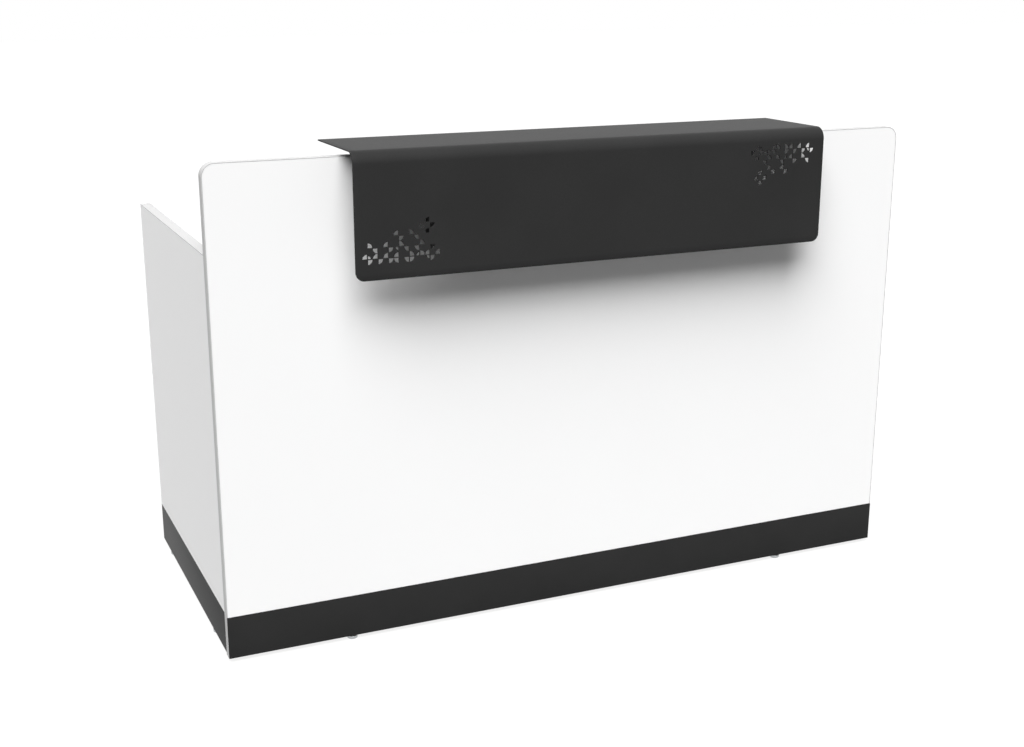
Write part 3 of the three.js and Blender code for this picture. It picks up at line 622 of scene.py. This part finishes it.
def hob_sheet(sizes):
    """The hob as one closed sheet. A flat pattern, u along the desk and s along the sheet from the
    apron's lower edge, is a grid whose lines follow the perforation's cells. A holed cell is a
    ring of faces from its four corners to the quarter's outline, and every edge of the sheet is
    eased. Depth runs in from the outer face, and place bends the pattern into apron and shelf."""
    low, high = limits("hob")
    half, tall = high[0], high[2] - low[2]
    bend, sheet, rim = sizes.bend, sizes.sheet, sizes.rim
    drop = tall - bend
    curve = bend * QUARTER
    reach = drop + curve + high[1] - low[1] - bend
    cell = sizes.circle_pitch / 2
    rows, columns = len(PATTERN), len(PATTERN[0])
    margin = sizes.pattern_left - cell

    def place(u, s, depth):
        """A point of the flat pattern on the bent sheet: straight up to the bend, round it at the
        radius less the depth, and straight back after it."""
        u, s, depth = np.broadcast_arrays(u, s, depth)
        angle = np.clip((s - drop) / bend, 0, QUARTER)
        radius = bend - depth
        y = low[1] + bend - radius * np.cos(angle) + np.maximum(s - drop - curve, 0)
        z = low[2] + np.minimum(s, drop) + radius * np.sin(angle)
        return np.stack([u, y, z], -1).reshape(-1, 3)

    # Lines of the grid: both clusters' cells, and what lies between and beyond them.
    cells_u, cells_s = cell * np.arange(columns + 1), cell * np.arange(rows + 1)
    left = margin - half + cells_u
    right = half - sizes.pattern_right + cell - cells_u[::-1]
    between = np.linspace(left[-1], right[0], FILL_LINES)[1:-1]
    u_lines = np.r_[left, between, right, half - margin]
    lower = sizes.pattern_low - cell + cells_s
    upper = tall - lower[::-1]
    bent = drop + curve * np.linspace(0, 1, BEND_STEPS + 1)
    back = np.linspace(bent[-1], reach - margin, SHELF_LINES)[1:]
    s_lines = np.r_[margin, lower, upper, bent, back]
    count_u, count_s = u_lines.size, s_lines.size
    corner = np.arange(count_s * count_u).reshape(count_s, count_u)

    # Eased edge of the sheet: how far each ring stands back from the cut, and its depth.
    turn = np.linspace(0, QUARTER, RIM_POINTS)
    stand = rim * (1 - np.sin(turn))
    sink = rim * (1 - np.cos(turn))
    stand = np.r_[stand, stand[::-1]]
    sink = np.r_[sink, sheet - sink[::-1]]

    # Holed cells: low on the left, and the same turned half round, high on the right.
    marks = np.array([list(row) for row in PATTERN[::-1]])
    row, column = np.nonzero(marks != ".")
    size = np.where(marks[row, column] == "#", sizes.quarter, sizes.small_quarter)
    across, up = 2 * (column % 2) - 1, 2 * (row % 2) - 1
    first_right, first_upper = left.size + between.size, 1 + lower.size
    hole_u = np.r_[column, first_right + columns - 1 - column]
    hole_s = np.r_[1 + row, first_upper + rows - 1 - row]
    across, up = np.r_[across, -across], np.r_[up, -up]
    size = np.r_[size, size][:, None, None]
    near_u, far_u = hole_u + (across < 0), hole_u + (across > 0)
    near_s, far_s = hole_s + (up < 0), hole_s + (up > 0)
    at_u = u_lines[near_u] + across * sizes.web / 2
    at_s = s_lines[near_s] + up * sizes.web / 2

    # Outline of each quarter at each ring: its corner, then the arc, all moved out by the stand.
    out = stand[None, :, None]
    spread = np.arcsin(out / (size + out))
    angle = -spread + (QUARTER + 2 * spread) * np.linspace(0, 1, ARC_POINTS)
    tip = np.broadcast_to(-out, angle.shape[:2] + (1,))
    along, rise = (np.concatenate([tip, (size + out) * wave(angle)], -1)
                   for wave in (np.cos, np.sin))
    ring_u = at_u[:, None, None] + across[:, None, None] * along
    ring_s = at_s[:, None, None] + up[:, None, None] * rise

    # Outline of the whole sheet at each ring, with the inner grid point that each point faces.
    fan = np.linspace(0, QUARTER, FAN_POINTS)
    inset = stand[:, None]
    low_r, high_r = sizes.apron_corner - inset, sizes.shelf_corner - inset
    low_c, high_c = half - sizes.apron_corner, half - sizes.shelf_corner
    low_s, high_s = sizes.apron_corner, reach - sizes.shelf_corner
    mid_u, mid_s = u_lines[1:-1] + 0 * inset, s_lines[1:-1] + 0 * inset
    edge_u = np.concatenate([
        mid_u, low_c + low_r * np.sin(fan), half - inset + 0 * mid_s, high_c + high_r * np.cos(fan),
        mid_u[:, ::-1], -high_c - high_r * np.sin(fan), inset - half + 0 * mid_s,
        -low_c - low_r * np.cos(fan)], axis=1)
    edge_s = np.concatenate([
        inset + 0 * mid_u, low_s - low_r * np.cos(fan), mid_s, high_s + high_r * np.sin(fan),
        reach - inset + 0 * mid_u, high_s + high_r * np.cos(fan), mid_s[:, ::-1],
        low_s - low_r * np.sin(fan)], axis=1)
    fans = [[corner[end]] * fan.size for end in ((0, -1), (-1, -1), (-1, 0), (0, 0))]
    faced = np.r_[corner[0, 1:-1], fans[0], corner[1:-1, -1], fans[1],
                  corner[-1, -2:0:-1], fans[2], corner[-2:0:-1, 0], fans[3]]

    grid_u, grid_s = np.meshgrid(u_lines, s_lines)
    points = np.concatenate([
        place(grid_u, grid_s, 0.0), place(grid_u, grid_s, sheet),
        place(edge_u, edge_s, sink[:, None]), place(ring_u, ring_s, sink[None, :, None])])
    edge = 2 * corner.size + np.arange(edge_u.size).reshape(edge_u.shape)
    ring = 2 * corner.size + edge.size + np.arange(ring_u.size).reshape(ring_u.shape)

    holed = np.zeros((count_s - 1, count_u - 1), bool)
    holed[hole_s, hole_u] = True
    cells = quads(corner)[~holed.ravel()]
    faces = [*cells.tolist(), *(cells + corner.size).tolist()]

    # Outer and inner face: the margin round the sheet, then a ring of faces round each hole. Each
    # point of a hole's outline faces one of the cell's corners, the first being the quarter's own.
    faced_next = np.roll(faced, -1)
    same = faced == faced_next
    square = np.stack([
        corner[near_s, near_u], corner[near_s, far_u], corner[far_s, far_u], corner[far_s, near_u]])
    flank = ARC_POINTS // 4
    nearest = np.repeat([0, 1, 2, 3], [1, flank, ARC_POINTS - 2 * flank, flank])
    for face, skip in ((0, 0), (-1, corner.size)):
        loop, hole, beyond = edge[face], ring[:, face], square + skip
        following = np.roll(loop, -1)
        faces += np.stack([loop, following, faced + skip], -1)[same].tolist()
        faces += np.stack([loop, following, faced_next + skip, faced + skip], -1)[~same].tolist()
        for this, (mine, other) in enumerate(zip(nearest, np.roll(nearest, -1))):
            after = (this + 1) % nearest.size
            side = [hole[:, this], hole[:, after], beyond[other]]
            side += [] if mine == other else [beyond[mine]]
            faces += np.stack(side, -1).tolist()
    faces += quads(np.concatenate([edge, edge[:, :1]], axis=1)).tolist()
    faces += quads(np.concatenate([ring, ring[..., :1]], axis=2)).tolist()
    return points, faces, np.zeros((len(points), 2))


class DESK_OT_hob(bpy.types.Operator):
    """Makes the bent, perforated steel hob with its weld studs"""

    bl_idname = "desk.hob"
    bl_label = "Hob"

    def execute(self, context):
        sizes, colours = given(context)
        shells = [hob_sheet(sizes)]
        under = limits("hob")[1][2] - sizes.sheet
        weld = eased(MM * np.array(WELD), WELD_EASE, closed=False)
        for end, _ in ENDS:
            for where in ("front", "rear"):
                low, high = limits(f"{end}_hob_nut_{where}")
                x, y, _ = (low + high) / 2
                shells.append(turned(*weld.T[..., None], (x, y, under)))
                shells.append(threaded(
                    (x, y, 0), sizes.stud, STUD_PITCH, under - sizes.stud_length, under))
        make_piece("hob_sheet", shells, shared(powder_coat, colours),
                   stands_for=["hob"])
        return {"FINISHED"}


# Boards and what edges them

class DESK_OT_boards(bpy.types.Operator):
    """Gives the three uprights and the worktop their melamine finish"""

    bl_idname = "desk.boards"
    bl_label = "Boards"

    def execute(self, context):
        colours = context.scene.desk_colours
        upright = melamine_board(colours, colours.board, raw_edge=True)
        dress(upright, "front_panel", "left_side_panel", "right_side_panel")
        # The worktop takes the grey worktop colour: painted shade over its white, so that its top
        # does not wash out under the high key lamp.
        dress(melamine_board(colours, colours.worktop, raw_edge=False), "worktop")
        return {"FINISHED"}


class DESK_OT_edgings(bpy.types.Operator):
    """Makes the plastic edging of the front panel, the side panels and the worktop"""

    bl_idname = "desk.edgings"
    bl_label = "Edgings"

    def execute(self, context):
        sizes, colours = given(context)
        finish = shared(abs_edging, colours)

        low, high = limits("front_panel_edging")
        kick_high = limits("front_kick_plate")[1]
        corner, kick_top = sizes.panel_corner, kick_high[2] + FIT
        turn = np.linspace(math.pi, 0, 2 * BEND_STEPS + 2)
        turn = np.insert(turn, BEND_STEPS + 1, [QUARTER, QUARTER])
        angle = np.r_[[math.pi] * 3, turn, [0] * 3]
        left = np.arange(angle.size) < angle.size // 2
        x = np.where(left, low[0] + corner, high[0] - corner) + corner * np.cos(angle)
        z = high[2] - corner + corner * np.sin(angle)
        z[:3], z[-3:] = (low[2], kick_top, kick_top), (kick_top, kick_top, low[2])
        front = np.full(x.size, low[1])
        front[[0, 1, -2, -1]] = kick_high[1] + FIT
        shell = upright_band(0, x, z, angle, front, np.full(x.size, high[1]), sizes)
        make_piece("front_panel_band", [shell], finish,
                   stands_for=["front_panel_edging"])

        for end, hand in ENDS:
            low, high = limits(f"{end}_side_edging")
            kick_low, kick_high = limits(f"{end}_kick_plate")
            corner, kick_top = sizes.side_corner, kick_high[2] + FIT
            angle = np.r_[QUARTER, np.linspace(QUARTER, 0, EASE_STEPS + 3), [0] * 3]
            y = high[1] - corner + corner * np.cos(angle)
            z = high[2] - corner + corner * np.sin(angle)
            y[0], z[-3:] = low[1], (kick_top, kick_top, low[2])
            inner, outer = np.tile([[low[0]], [high[0]]], y.size)[::hand]
            outer[-2:] = kick_low[0] - FIT if hand > 0 else kick_high[0] + FIT
            shell = upright_band(
                1, y, z, angle, np.minimum(inner, outer), np.maximum(inner, outer), sizes)
            make_piece(f"{end}_side_band", [shell], finish,
                       stands_for=[f"{end}_side_edging"])

        low, high = limits("worktop_edging")
        line = np.array([[low[0], high[1], 0], [high[0], high[1], 0]])
        outward = np.array([[0, 1, 0], [0, 1, 0]])
        shell = banding(line, outward, (0, 0, 1), [low[2]] * 2, [high[2]] * 2, sizes)
        make_piece("worktop_band", [shell], finish, stands_for=["worktop_edging"])
        return {"FINISHED"}


class DESK_OT_kick_plates(bpy.types.Operator):
    """Makes the three dark kick plates with eased edges"""

    bl_idname = "desk.kick_plates"
    bl_label = "Kick plates"

    def execute(self, context):
        sizes, colours = given(context)
        for side in ("front", "left", "right"):
            shell = rounded_box(*limits(f"{side}_kick_plate"), sizes.kick_arris)
            make_piece(f"{side}_kick_strip", [shell], shared(laminate_kick, colours),
                       stands_for=[f"{side}_kick_plate"])
        return {"FINISHED"}


# Steelwork and fasteners

class DESK_OT_brackets(bpy.types.Operator):
    """Finishes the saddle brackets and makes their screws and nuts"""

    bl_idname = "desk.brackets"
    bl_label = "Brackets"

    def execute(self, context):
        sizes, colours = given(context)
        zinc = shared(zinc_plate, colours)
        for end, _ in ENDS:
            dress(shared(matt_powder_coat, colours), f"{end}_hob_bracket")
            screws = [f"{end}_bracket_screw_{i}" for i in (1, 2, 3)]
            boxes = [limits(screw) for screw in screws]
            seats = [((low[0] + high[0]) / 2, low[1] + sizes.screw_dome, (low[2] + high[2]) / 2)
                     for low, high in boxes]
            reach = boxes[0][1][1] - seats[0][1]
            head = pan_head(sizes, BRACKET_SHANK, reach)
            make_piece(f"{end}_bracket_screws", set_along(head, seats, (0, -1, 0)), zinc,
                       stands_for=screws)
            nuts = [f"{end}_hob_nut_{where}" for where in ("front", "rear")]
            shells = []
            for low, high in map(limits, nuts):
                x, y, _ = (low + high) / 2
                bore = sizes.stud / 2 - NUT_BITE
                shells.append(hex_nut(high[1] - low[1], bore, low[2], high[2], (x, y, 0)))
            make_piece(f"{end}_hob_nuts", shells, zinc, stands_for=nuts)
        return {"FINISHED"}


class DESK_OT_cleats(bpy.types.Operator):
    """Finishes the angles under the worktop and makes their screws"""

    bl_idname = "desk.cleats"
    bl_label = "Worktop angles"

    def execute(self, context):
        sizes, colours = given(context)
        zinc = shared(zinc_plate, colours)
        dress(galvanised_sheet(colours),
              "left_worktop_cleat", "right_worktop_cleat", "front_worktop_cleat")
        wall = sizes.cleat_wall
        head = pan_head(sizes, CLEAT_SHANK, wall)
        # For each angle: the axis across it, the way along it to the board, and its screws.
        angles = (("left", 0, -1, 3), ("right", 0, 1, 3), ("front", 1, -1, 5))
        for side, axis, hand, count in angles:
            low, high = limits(f"{side}_worktop_cleat")
            middle = (high[2] - low[2] + wall) / 2
            board = (low if hand < 0 else high)[axis]
            start, end = low[1 - axis] + sizes.cleat_end, high[1 - axis] - sizes.cleat_end
            seats = np.empty((2, count, 3))
            seats[:, :, 1 - axis] = np.linspace(start, end, count)
            seats[:, :, axis] = [[board - hand * wall], [board - hand * middle]]
            seats[:, :, 2] = [[high[2] - middle], [high[2] - wall]]
            inward = [0, 0, 0]
            inward[axis] = -hand
            shells = set_along(head, seats[0], inward) + set_along(head, seats[1], (0, 0, -1))
            make_piece(f"{side}_cleat_screws", shells, zinc)
        return {"FINISHED"}


def cam_disc(low, high, hand, slot):
    """A slotted cam: a rectangle as wide as the disc is at each height, carried down the disc from
    top to bottom. Its outer face steps in where the height lies within the slot."""
    centre = (low + high) / 2
    radius = (high[2] - low[2]) / 2
    half = slot / 2
    rise = radius * np.sin(np.linspace(-QUARTER, QUARTER, CAM_ROWS))
    rise = np.sort(np.r_[rise[np.abs(rise) > half], -half, -half, half, half])
    sunk = np.zeros(rise.size)
    inside = np.nonzero(np.abs(np.abs(rise) - half) < SAME_POINT)[0][1:3]
    sunk[inside[0]:inside[1] + 1] = SLOT_DEPTH
    wide = np.sqrt(np.maximum(radius ** 2 - rise ** 2, 0))
    face, floor = (low[0], high[0]) if hand > 0 else (high[0], low[0])
    front = face + hand * sunk
    back = 0 * front + floor
    across = np.stack([-wide, wide, wide, -wide, -wide], -1)
    deep = np.stack([back, back, front, front, back], -1)
    tall = np.broadcast_to(centre[2] + rise[:, None], deep.shape)
    points = np.stack([deep, centre[1] + across, tall], -1)
    return grid_shell(points)


class DESK_OT_cam_fittings(bpy.types.Operator):
    """Makes the slotted cams in the side panels and finishes their bolts"""

    bl_idname = "desk.cam_fittings"
    bl_label = "Cam fittings"

    def execute(self, context):
        sizes, colours = given(context)
        zinc = shared(zinc_plate, colours)
        for end, hand in ENDS:
            cams = [f"{end}_cam_{i}" for i in (1, 2, 3)]
            shells = [cam_disc(*limits(cam), hand, sizes.cam_slot) for cam in cams]
            make_piece(f"{end}_cam_discs", shells, zinc, stands_for=cams)
            dress(zinc, *(f"{end}_cam_bolt_{i}" for i in (1, 2, 3)))
        return {"FINISHED"}


class DESK_OT_feet(bpy.types.Operator):
    """Makes the six levelling feet with threaded stems and finishes their inserts"""

    bl_idname = "desk.feet"
    bl_label = "Levelling feet"

    def execute(self, context):
        sizes, colours = given(context)
        for name in FEET:
            low, high = limits(f"{name}_foot")
            x, y, _ = (low + high) / 2
            base, tall, chamfer = (high[0] - low[0]) / 2, sizes.foot_height, sizes.foot_chamfer
            outline = [(0, 0), (base - chamfer, 0), (base, chamfer), (base, tall), (0, tall)]
            profile = eased(outline, FOOT_EASE, closed=False)
            shells = [
                turned(*profile.T[..., None], (x, y, low[2])),
                threaded((x, y, 0), sizes.stem, STEM_PITCH, low[2] + tall, high[2]),
            ]
            make_piece(f"{name}_levelling_foot", shells, shared(turned_zinc, colours),
                       body=f"foot_{name}", stands_for=[f"{name}_foot"])
            dress(shared(zinc_plate, colours), f"{name}_foot_insert")
        return {"FINISHED"}


# Grommets

def notched_disc(radius, notch, depth, inset):
    """A disc's outline with a round-ended notch on its -Y side, drawn in all round by the inset:
    the rim's arc, then up one side of the notch, round its end and back down the other."""
    outer, inner = radius - inset, notch / 2 + inset
    opening = math.asin(inner / outer)
    rim = np.linspace(opening - QUARTER, TURN - QUARTER - opening, 2 * ROUND_STEPS)
    end = np.linspace(math.pi, 0, ROUND_STEPS // 2)
    centre = depth - radius - notch / 2
    x = np.r_[outer * np.cos(rim), inner * np.cos(end)]
    y = np.r_[outer * np.sin(rim), centre + inner * np.sin(end)]
    return np.stack([np.append(x, x[0]), np.append(y, y[0])], -1)


class DESK_OT_grommets(bpy.types.Operator):
    """Makes the cable grommets: a liner let into the worktop and a notched cap that turns in it"""

    bl_idname = "desk.grommets"
    bl_label = "Cable grommets"

    def execute(self, context):
        sizes, colours = given(context)
        finish = shared(moulded_plastic, colours)
        turn = np.linspace(0, QUARTER, EASE_STEPS + 1)
        for end, _ in ENDS:
            low, high = limits(f"{end}_grommet")
            x, y, _ = (low + high) / 2
            flange, top = (high[0] - low[0]) / 2, high[2]
            lid_low, lid_high = limits(f"{end}_grommet_cap")
            lid = (lid_high[0] - lid_low[0]) / 2
            mouth = lid + FIT
            throat, ledge = mouth - sizes.ledge, top - sizes.cap_height - FIT
            sleeve, under = SLEEVE - FIT, top - FLANGE
            outline = [(mouth, top), (mouth, ledge), (throat, ledge), (throat, low[2]),
                       (sleeve, low[2]), (sleeve, under), (flange, under), (flange, top)]
            profile = eased(outline, LINER_EASE, closed=True)
            shell = turned(*profile.T[..., None], (x, y, 0))
            make_piece(f"{end}_grommet_liner", [shell], finish,
                       stands_for=[f"{end}_grommet"])
            insets = CAP_EASE * (1 - np.sin(turn))
            falls = CAP_EASE * (1 - np.cos(turn))
            heights = np.r_[top - falls, top - sizes.cap_height + falls[::-1]]
            rings = []
            for inset, height in zip([*insets, *insets[::-1]], heights):
                rim = notched_disc(lid, sizes.notch, sizes.notch_depth, inset) + (x, y)
                rings.append(np.insert(rim, 2, height, axis=1))
            shell = grid_shell(np.array(rings), ends=True)
            make_piece(f"{end}_grommet_lid", [shell], finish, body=f"cap_{end}",
                       stands_for=[f"{end}_grommet_cap"])
        return {"FINISHED"}


# Stage

class DESK_OT_stage(bpy.types.Operator):
    """Sets up the pale floor, the white surroundings, the soft lamps and the camera"""

    bl_idname = "desk.stage"
    bl_label = "Stage"

    def execute(self, context):
        scene, studio = context.scene, context.scene.desk_studio
        scene.view_settings.view_transform = "Standard"
        self.floor(scene, studio)
        self.surroundings(scene, studio)
        self.lamp("key_lamp", studio.key, spread=50, heading=28, height=54)
        self.lamp("rear_lamp", studio.rear, spread=120, heading=215, height=14)
        camera = bpy.data.cameras.new("camera")
        camera.sensor_fit, camera.sensor_width, camera.lens = "HORIZONTAL", 36, studio.lens
        holder = placed("camera", camera)
        holder.location = studio.camera_place
        holder.rotation_euler = (QUARTER - studio.tilt, 0, -studio.heading)
        scene.camera = holder
        return {"FINISHED"}

    def seen(self, tree):
        """One for a ray that shows the background: from the camera, a gloss or through glass."""
        rays = add(tree, "ShaderNodeLightPath")
        shown = rays["Is Camera Ray"]
        for kind in ("Is Glossy Ray", "Is Transmission Ray"):
            shown = add(tree, "ShaderNodeMath", {0: shown, 1: rays[kind]}, operation="ADD",
                        use_clamp=True)[0]
        return shown

    def floor(self, scene, studio):
        """A wide floor, pale grey to the light that it bounces, and white to the eye but for the
        desk's shadow."""
        mesh = bpy.data.meshes.new("studio_floor")
        far = FLOOR_REACH
        corners = [(-far, -far, 0), (far, -far, 0), (far, far, 0), (-far, far, 0)]
        mesh.from_pydata(corners, [], [(0, 1, 2, 3)])
        made = bpy.data.materials.new("pale_studio_floor")
        tree = cleared(made)
        strength = add(tree, "ShaderNodeMath", {
            0: self.seen(tree), 1: studio.floor_white}, operation="MULTIPLY")
        glow = add(tree, "ShaderNodeEmission", {"Strength": strength[0]})
        matt = add(tree, "ShaderNodeBsdfDiffuse", {"Color": tuple(scene.desk_colours.floor)})
        both = add(tree, "ShaderNodeAddShader", {0: glow[0], 1: matt[0]})
        add(tree, "ShaderNodeOutputMaterial", {"Surface": both[0]})
        mesh.materials.append(made)
        floor = placed("studio_floor", mesh)

    def surroundings(self, scene, studio):
        """White all round to the eye and to gloss, and a low even light on the desk."""
        world = bpy.data.worlds.new("studio")
        tree = cleared(world)
        strength = add(tree, "ShaderNodeMapRange", {
            "Value": self.seen(tree), "To Min": studio.ambient, "To Max": 1.0})
        white = add(tree, "ShaderNodeBackground", {
            "Color": linear("#FFFFFF"), "Strength": strength[0]})
        add(tree, "ShaderNodeOutputWorld", {"Surface": white[0]})
        scene.world = world

    def lamp(self, name, strength, spread, heading, height):
        """A far soft lamp, its angles in degrees: the spread that it fills, its heading from the
        desk's front towards its left end, and its height above the floor."""
        light = bpy.data.lights.new(name, "SUN")
        light.energy, light.angle = strength, math.radians(spread)
        heading, height = math.radians(heading), math.radians(height)
        away = Vector((-math.sin(heading) * math.cos(height), -math.cos(heading) * math.cos(height),
                       math.sin(height)))
        lamp = placed(name, light)
        lamp.location = LAMP_DISTANCE * away
        lamp.rotation_euler = away.to_track_quat("Z", "Y").to_euler()


OPERATORS = (DESK_OT_boards, DESK_OT_edgings, DESK_OT_kick_plates, DESK_OT_hob, DESK_OT_brackets,
             DESK_OT_cleats, DESK_OT_cam_fittings, DESK_OT_feet, DESK_OT_grommets, DESK_OT_stage)


class DESK_PT_build(bpy.types.Panel):
    """Lists the desk's pieces, its sizes and its colours"""

    bl_idname = "DESK_PT_build"
    bl_label = "Reception desk"
    bl_space_type = "VIEW_3D"
    bl_region_type = "UI"
    bl_category = "Desk"

    def draw(self, context):
        for operator in OPERATORS:
            self.layout.operator(operator.bl_idname)
        for name, _ in GROUPS:
            group, box = getattr(context.scene, name), self.layout.box()
            for setting in group.__annotations__:
                box.prop(group, setting)


GROUPS = (("desk_sizes", DeskSizes), ("desk_colours", DeskColours), ("desk_studio", DeskStudio))


def register():
    for name, group in GROUPS:
        bpy.utils.register_class(group)
        setattr(bpy.types.Scene, name, bpy.props.PointerProperty(type=group))
    for made in (*OPERATORS, DESK_PT_build):
        bpy.utils.register_class(made)


def unregister():
    for made in (DESK_PT_build, *reversed(OPERATORS)):
        bpy.utils.unregister_class(made)
    for name, group in reversed(GROUPS):
        delattr(bpy.types.Scene, name)
        bpy.utils.unregister_class(group)


def main():
    register()
    for operator in OPERATORS:
        group, name = operator.bl_idname.split(".")
        getattr(getattr(bpy.ops, group), name)()


if __name__ == "__main__":
    main()
